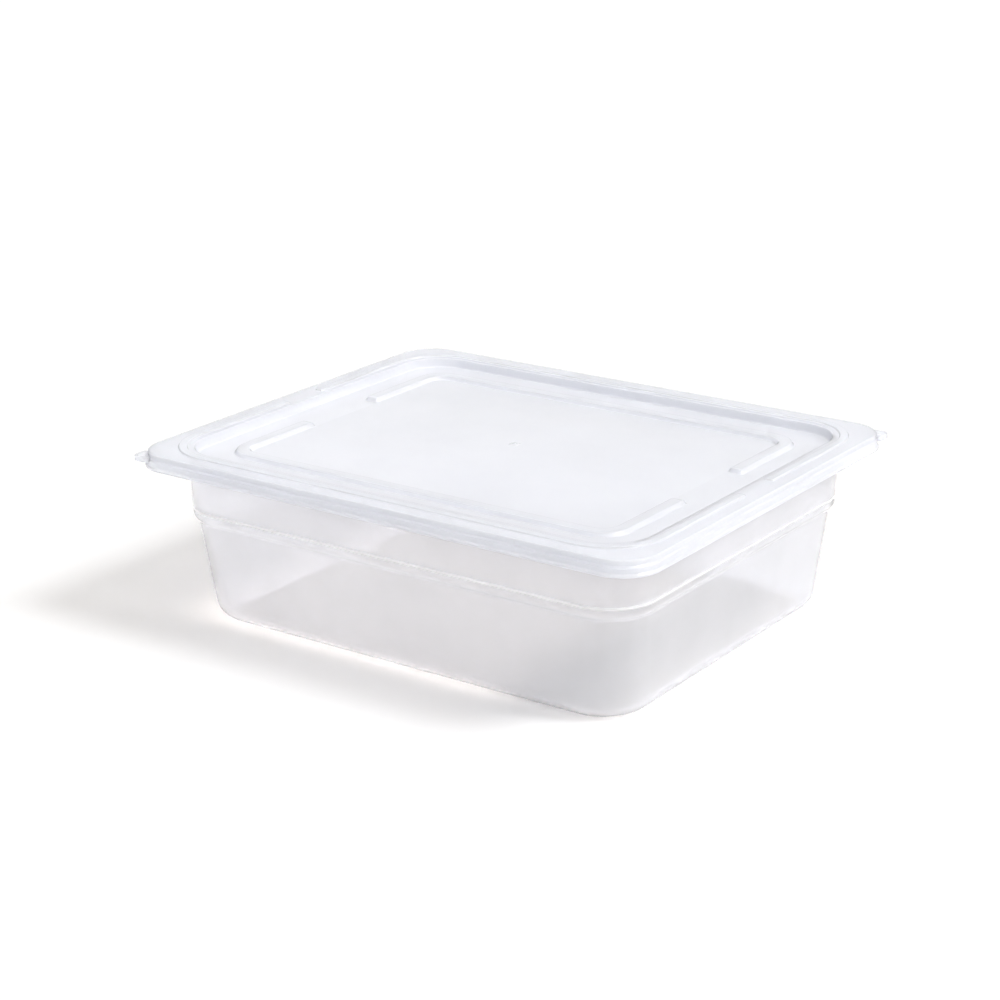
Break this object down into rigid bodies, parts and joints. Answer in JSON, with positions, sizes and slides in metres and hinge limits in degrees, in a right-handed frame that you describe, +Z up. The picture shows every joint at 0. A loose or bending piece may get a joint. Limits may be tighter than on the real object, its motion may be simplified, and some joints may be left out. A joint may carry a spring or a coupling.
{
  "type": "dough proofing container",
  "caption": "Rectangular milky plastic tub with a shoulder, and a snap-over lid with a sunk floor, C-shaped ribs and corner grip tabs.",
  "frame": {"origin": "under the middle of the pan's base, on the surface that it stands on", "axes": "+X along the length, +Y along the width, +Z up out of the pan's mouth"},
  "size_m": [0.325, 0.267, 0.1],
  "materials": {
    "pan_plastic": "satin, milky translucent polypropylene",
    "lid_plastic": "satin, milky translucent polypropylene with a faint blue cast"
  },
  "bodies": {
    "pan": {"pan": "pan_plastic"},
    "lid": {"lid": "lid_plastic"}
  },
  "joints": [
    {"name": "lid_lift", "type": "slide", "parent": "pan", "child": "lid", "axis": [0, 0, 1], "range_m": [0, 0.15]}
  ]
}
